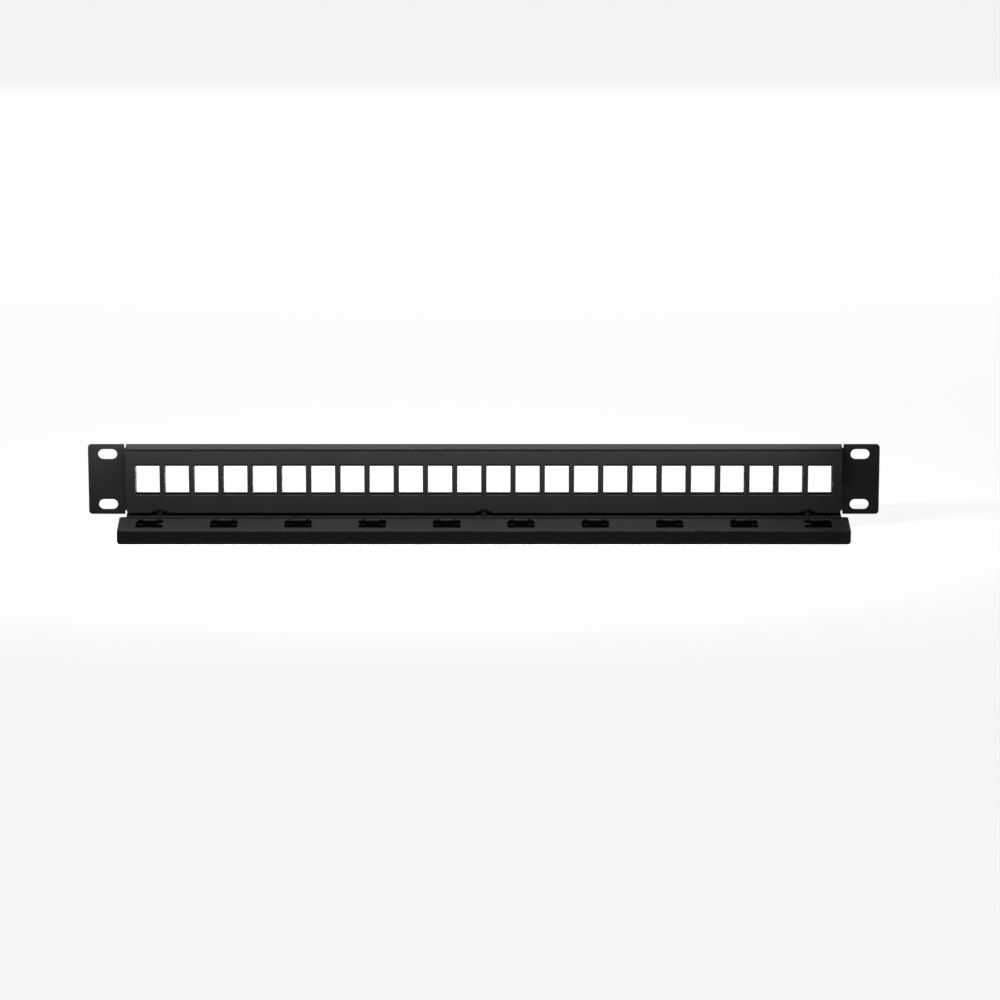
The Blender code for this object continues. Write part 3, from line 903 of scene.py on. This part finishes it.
class PATCH_PANEL_OT_cable_tray(bpy.types.Operator):
    """Make the shelf behind the ports, with its lip and its row of tie points."""

    bl_idname = "patch_panel.cable_tray"
    bl_label = "Cable tray"

    def execute(self, context):
        size = settings("sheet")
        tray_size = settings("tray")
        fastener = settings("fastener")
        half = TRAY_HIGH.x
        shelf, lip_bottom = TRAY_HIGH.z, TRAY_LOW.z
        lip, front = TRAY_LOW.y, TRAY_HIGH.y
        below_edge = 0.35 * MM
        # The faces behind the lip and under the shelf get painted shade in the tray's coat
        painted_shade_line = (lip + 1.5 * size.sheet, shelf - below_edge)
        coat = powder_coat("tray_powder_coat", (0.2, 0.9, 0.5), painted_shade_line)
        front_bottom = shelf - tray_size.front_drop
        corners = [(front, front_bottom), (front, shelf), (lip, shelf), (lip, lip_bottom)]
        section = folded_section(corners, 1)
        tray = section_object("cable_tray_blank", section, -half)
        grow(tray, folded_sheet_tree(), coat, Width=2 * half)
        through = (shelf - 3 * size.sheet, shelf + size.sheet)
        wings = mirrored(self.wing(size, tray_size))
        wing_cuts = prisms("wing_cuts", wings, front_bottom - size.sheet, shelf + size.sheet, False)
        helpers = [combine(tray, wing_cuts, "DIFFERENCE")]
        round_x, round_z = half - tray_size.corner, lip_bottom + tray_size.corner
        corner = arc((round_x, round_z), tray_size.corner, 270, 360, CORNER_STEPS)
        corner += [(half + size.sheet, round_z), (half + size.sheet, lip_bottom - size.sheet)]
        corner += [(round_x, lip_bottom - size.sheet)]
        lip_cuts = prisms("lip_cuts", mirrored(corner), lip - size.sheet, lip + 2 * size.sheet, True)
        helpers.append(combine(tray, lip_cuts, "DIFFERENCE"))
        near = lip + tray_size.from_lip
        far = near + tray_size.depth
        root = far + tray_size.relief_depth
        row = {"Count": tray_size.count, "Pitch": tray_size.pitch, "Turn": (0.0, 0.0, 0.0)}
        row["Depth"] = 4 * size.sheet
        middle = shelf - size.sheet / 2
        openings = row_of_openings_tree()
        grow(
            tray,
            openings,
            coat,
            Width=tray_size.width,
            Height=tray_size.depth,
            Corner=tray_size.window_corner,
            Centre=(0.0, (near + far) / 2, middle),
            **row,
        )
        start = far - tray_size.window_corner
        grow(
            tray,
            openings,
            coat,
            Width=tray_size.neck + 2 * tray_size.relief,
            Height=root - start,
            Corner=tray_size.window_corner / 2,
            Centre=(0.0, (start + root) / 2, middle),
            **row,
        )
        tab, parts = self.tab(size, tray_size, root)
        helpers += [tab] + parts
        grow(tray, row_of_tabs_tree(), coat, Tab=tab, Count=tray_size.count, Pitch=tray_size.pitch)
        holes = [circle(place, fastener.bore) for place in fastener_places().values()]
        helpers.append(combine(tray, prisms("screw_holes", holes, *through, False), "DIFFERENCE"))
        soften(tray, size.rounding)
        settle("cable_tray_sheet", tray, helpers, coat, ["cable_tray"])
        return {"FINISHED"}

    def wing(self, size, tray_size):
        """What is cut away where the tray narrows beside the folded box."""
        inner = PANEL_HIGH.x - size.ear_width
        half = TRAY_HIGH.x
        round_x, round_y = half - tray_size.corner, -tray_size.wing_front - tray_size.corner
        outline = [(inner, 0), (inner, -tray_size.wing_front)]
        outline += arc((round_x, round_y), tray_size.corner, 90, 0, CORNER_STEPS)
        return outline + [(half + size.sheet, round_y), (half + size.sheet, 0)]

    def tab(self, size, tray_size, root):
        """One T-shaped tab, folded down from the far edge of a window."""
        shelf = TRAY_HIGH.z
        face = root - tray_size.straight - size.bend_inner - size.sheet
        neck = folded_section([(root, shelf), (face, shelf), (face, shelf - tray_size.head_drop)], 1)
        tab = section_object("tab_neck", neck, -tray_size.neck / 2)
        grow(tab, folded_sheet_tree(), None, Width=tray_size.neck)
        low, high = shelf - tray_size.drop, shelf - tray_size.head_drop
        half, radius = tray_size.width / 2, tray_size.head_corner
        outline = arc((radius - half, low + radius), radius, 180, 270, HEAD_STEPS)
        outline += arc((half - radius, low + radius), radius, 270, 360, HEAD_STEPS)
        outline += [(half, high), (-half, high)]
        head = prisms("tab_head", [outline], face, face + size.sheet, True)
        combine(tab, head, "UNION")
        return tab, [head]


class PATCH_PANEL_OT_standoffs(bpy.types.Operator):
    """Make the three threaded sleeves that are clinched into the lower flange."""

    bl_idname = "patch_panel.standoffs"
    bl_label = "Standoffs"

    def execute(self, context):
        size = settings("sheet")
        fastener = settings("fastener")
        roughness = settings("finish").standoff_roughness
        lead = 0.25 * MM
        edge = 0.3 * MM
        collar_edge = 0.05 * MM
        coil = {"Core": fastener.bore + 0.02 * MM, "Ridge": 0.07 * MM, "Pitch": fastener.pitch}
        unthreaded = 0.7 * MM
        for number, (place_name, place) in enumerate(fastener_places().items()):
            node = "clinch_standoff_" + place_name
            low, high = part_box(node)
            collar = (high.x - low.x) / 2
            coat = black_plating("standoff_coat_" + place_name, (number * 0.1, 0.2, 0.3), roughness)
            tall = high.z - low.z
            step = size.sheet - size.clearance
            shoulder = fastener.standoff_radius - edge
            profile = [(fastener.bore + lead, tall), (shoulder, tall)]
            profile += arc((shoulder, tall - edge), edge, 90, 0, SMALL_STEPS)[1:]
            profile += [(fastener.standoff_radius, step), (collar - collar_edge, step)]
            profile += [(collar, step - collar_edge), (collar, 0)]
            profile += [(fastener.bore, 0), (fastener.bore, tall - lead)]
            sleeve = turned(node + "_blank", profile, (*place, low.z), closed=True)
            foot = (*place, low.z + THREAD_START)
            grow(sleeve, screw_thread_tree(), coat, Length=tall - unthreaded, Foot=foot, **coil)
            soften(sleeve, FINE_ROUNDING)
            settle(node + "_sleeve", sleeve, [], coat, [node])
        return {"FINISHED"}


class PATCH_PANEL_OT_screws(bpy.types.Operator):
    """Make the three screws that hold the tray from below."""

    bl_idname = "patch_panel.screws"
    bl_label = "Screws"

    def execute(self, context):
        size = settings("sheet")
        fastener = settings("fastener")
        roughness = settings("finish").screw_roughness
        seat = TRAY_HIGH.z - size.sheet - size.clearance
        point = 0.35 * MM
        head_edge = 0.1 * MM
        unthreaded = 0.8 * MM
        across, along = fastener.recess_width, fastener.recess_span
        coil = {"Core": fastener.core, "Ridge": fastener.ridge, "Pitch": fastener.pitch}
        for number, (place_name, (x, y)) in enumerate(fastener_places().items()):
            node = "tray_screw_" + place_name
            low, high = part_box(node)
            head = (high.x - low.x) / 2
            coat = black_plating("black_zinc_" + place_name, (number * 0.1, 0.5, 0.7), roughness)
            tip = high.z - seat
            head_height = seat - low.z
            centre = (head - fastener.dome, fastener.dome - head_height)
            profile = [(0, tip), (fastener.core - point, tip), (fastener.core, tip - point)]
            profile += [(fastener.core, 0), (head - head_edge, 0), (head, -head_edge)]
            profile += arc(centre, fastener.dome, 0, -90, HEAD_STEPS)
            profile += [(0, -head_height)]
            screw = turned(node + "_blank", profile, (x, y, seat))
            recess_top = low.z + fastener.recess_depth
            helpers = []
            for arm, (width, depth) in enumerate(((along, across), (across, along))):
                outline = rounded_rectangle(around(x, width), around(y, depth), across / 4)
                cutter = prisms(f"recess_{arm}", [outline], low.z - MM, recess_top, False)
                helpers.append(combine(screw, cutter, "DIFFERENCE"))
            foot = (x, y, seat + THREAD_START)
            grow(screw, screw_thread_tree(), coat, Length=tip - unthreaded, Foot=foot, **coil)
            soften(screw, FINE_ROUNDING)
            settle(node + "_pan_head", screw, helpers, coat, [node])
        return {"FINISHED"}


# Stage


def area_light(name, place, target, size_x, size_y, power):
    """A soft rectangular light that looks at a point."""
    light = bpy.data.lights.new(name, "AREA")
    light.shape = "RECTANGLE"
    light.size = size_x
    light.size_y = size_y
    light.energy = power
    lamp = bpy.data.objects.new(name, light)
    lamp.location = place
    lamp.rotation_euler = (Vector(target) - Vector(place)).to_track_quat("-Z", "Y").to_euler()
    lamp.visible_camera = False
    bpy.context.scene.collection.objects.link(lamp)


class PATCH_PANEL_OT_stage(bpy.types.Operator):
    """Make the floor, the surround, the lights and the camera."""

    bl_idname = "patch_panel.stage"
    bl_label = "Stage"

    def execute(self, context):
        stage = settings("stage")
        context.scene.view_settings.view_transform = "Standard"
        self.make_floor(CAD_BOX[0].z)
        self.make_surround(stage)
        for name, place, target, width, height, power in LIGHTS:
            area_light(name, place, target, width, height, getattr(stage, power))
        camera = bpy.data.cameras.new("camera")
        camera.lens = stage.lens
        camera.sensor_width = 36.0
        camera.shift_x = stage.shift_x
        camera.shift_y = stage.shift_y
        camera.clip_start = 0.01
        camera.clip_end = 50.0
        eye = bpy.data.objects.new("camera", camera)
        level = stage.distance * math.cos(stage.elevation)
        eye.location = (0.0, -level, stage.distance * math.sin(stage.elevation))
        eye.rotation_euler = (math.pi / 2 - stage.elevation, 0.0, 0.0)
        context.scene.collection.objects.link(eye)
        context.scene.camera = eye
        return {"FINISHED"}

    def make_floor(self, height):
        """A pale floor that is seen only from above and lets the light from below pass."""
        bm = bmesh.new()
        bmesh.ops.create_grid(bm, x_segments=1, y_segments=1, size=FLOOR_HALF)
        bmesh.ops.translate(bm, verts=bm.verts, vec=(0, 0, height))
        floor = new_object("floor", mesh_from("floor", bm))
        floor.visible_diffuse = False
        floor.visible_glossy = False
        floor.visible_shadow = False
        material, nodes = new_material("pale_floor")
        matt = nodes.add("ShaderNodeBsdfDiffuse", None, {"Color": (0.8, 0.8, 0.8, 1)})["BSDF"]
        glow = nodes.add("ShaderNodeEmission", None, {"Color": (1, 1, 1, 1), "Strength": 0.88})["Emission"]
        lit = nodes.add("ShaderNodeAddShader", None, {0: matt, 1: glow})["Shader"]
        clear = nodes.add("ShaderNodeBsdfTransparent")["BSDF"]
        under = nodes.add("ShaderNodeNewGeometry")["Backfacing"]
        either = nodes.add("ShaderNodeMixShader", None, {"Fac": under, 1: lit, 2: clear})["Shader"]
        nodes.add("ShaderNodeOutputMaterial", None, {"Surface": either})
        floor.data.materials.append(material)

    def make_surround(self, stage):
        """White to the eye, and a dim even light on the panel."""
        world = bpy.data.worlds.new("surround")
        world.use_nodes = True
        world.node_tree.nodes.clear()
        nodes = Nodes(world.node_tree)
        seen = nodes.add("ShaderNodeLightPath")["Is Camera Ray"]
        strength = seen * (1.0 - stage.surround) + stage.surround
        sky = nodes.add("ShaderNodeBackground", None, {"Color": (1, 1, 1, 1), "Strength": strength})
        nodes.add("ShaderNodeOutputWorld", None, {"Surface": sky["Background"]})
        bpy.context.scene.world = world


class PATCH_PANEL_PT_sidebar(bpy.types.Panel):
    """The steps that build the panel."""

    bl_idname = "PATCH_PANEL_PT_sidebar"
    bl_label = "Patch Panel"
    bl_space_type = "VIEW_3D"
    bl_region_type = "UI"
    bl_category = "Patch Panel"

    def draw(self, context):
        for operator in OPERATORS:
            self.layout.operator(operator.bl_idname)
        for name, group in SETTINGS.items():
            box = self.layout.box()
            for setting in group.__annotations__:
                box.prop(getattr(context.scene, name), setting)


OPERATORS = (
    PATCH_PANEL_OT_front_panel,
    PATCH_PANEL_OT_retaining_channel,
    PATCH_PANEL_OT_cable_tray,
    PATCH_PANEL_OT_standoffs,
    PATCH_PANEL_OT_screws,
    PATCH_PANEL_OT_stage,
)


def register():
    """Add the settings, the operators and the panel."""
    for name, group in SETTINGS.items():
        bpy.utils.register_class(group)
        setattr(bpy.types.Scene, name, bpy.props.PointerProperty(type=group))
    for made in (*OPERATORS, PATCH_PANEL_PT_sidebar):
        bpy.utils.register_class(made)


def unregister():
    """Take away what register added."""
    for made in (PATCH_PANEL_PT_sidebar, *reversed(OPERATORS)):
        bpy.utils.unregister_class(made)
    for name, group in SETTINGS.items():
        delattr(bpy.types.Scene, name)
        bpy.utils.unregister_class(group)


def main():
    """Build the pieces and the stage."""
    register()
    bpy.ops.patch_panel.front_panel()
    bpy.ops.patch_panel.retaining_channel()
    bpy.ops.patch_panel.cable_tray()
    bpy.ops.patch_panel.standoffs()
    bpy.ops.patch_panel.screws()
    bpy.ops.patch_panel.stage()


if __name__ == "__main__":
    main()
